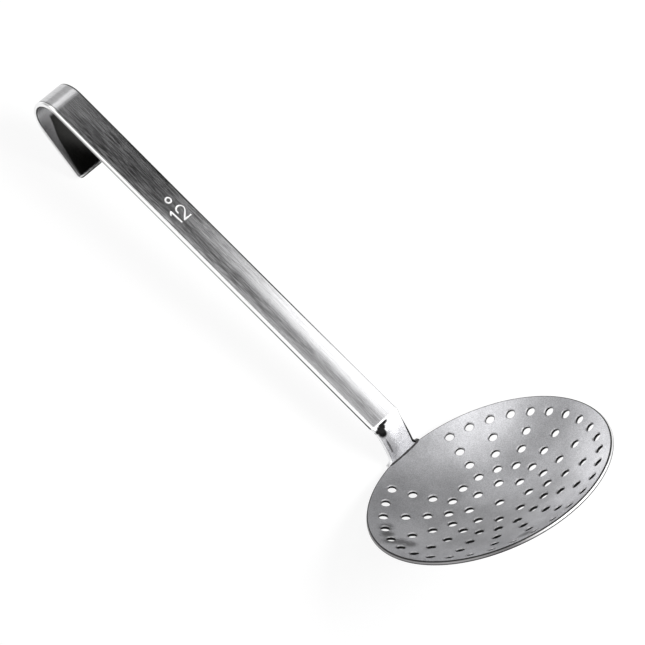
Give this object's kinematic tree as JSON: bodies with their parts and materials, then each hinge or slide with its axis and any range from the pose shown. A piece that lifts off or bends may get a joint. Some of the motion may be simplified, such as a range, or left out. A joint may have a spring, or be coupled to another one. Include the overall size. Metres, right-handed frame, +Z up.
{
  "type": "kitchen skimmer",
  "caption": "Kitchen skimmer: a shallow perforated dish on an arched neck, and a long flat strip handle bent into a hook for hanging.",
  "frame": {"origin": "middle of the bounding box's underside, on the table that the part lies on", "axes": "+X from the dish along the handle to the hook, +Z up, with the part lying on the heel of its neck and the tip of its hook"},
  "size_m": [0.3314, 0.1218, 0.0846],
  "materials": {
    "bowl": "worn satin",
    "foot_seam": "ground weld",
    "neck": "polished",
    "neck_seam": "ground weld",
    "handle": "brushed lengthwise"
  },
  "bodies": {
    "root": {"bowl": "bowl", "foot_seam": "foot_seam", "neck": "neck", "neck_seam": "neck_seam", "handle": "handle"}
  },
  "joints": []
}
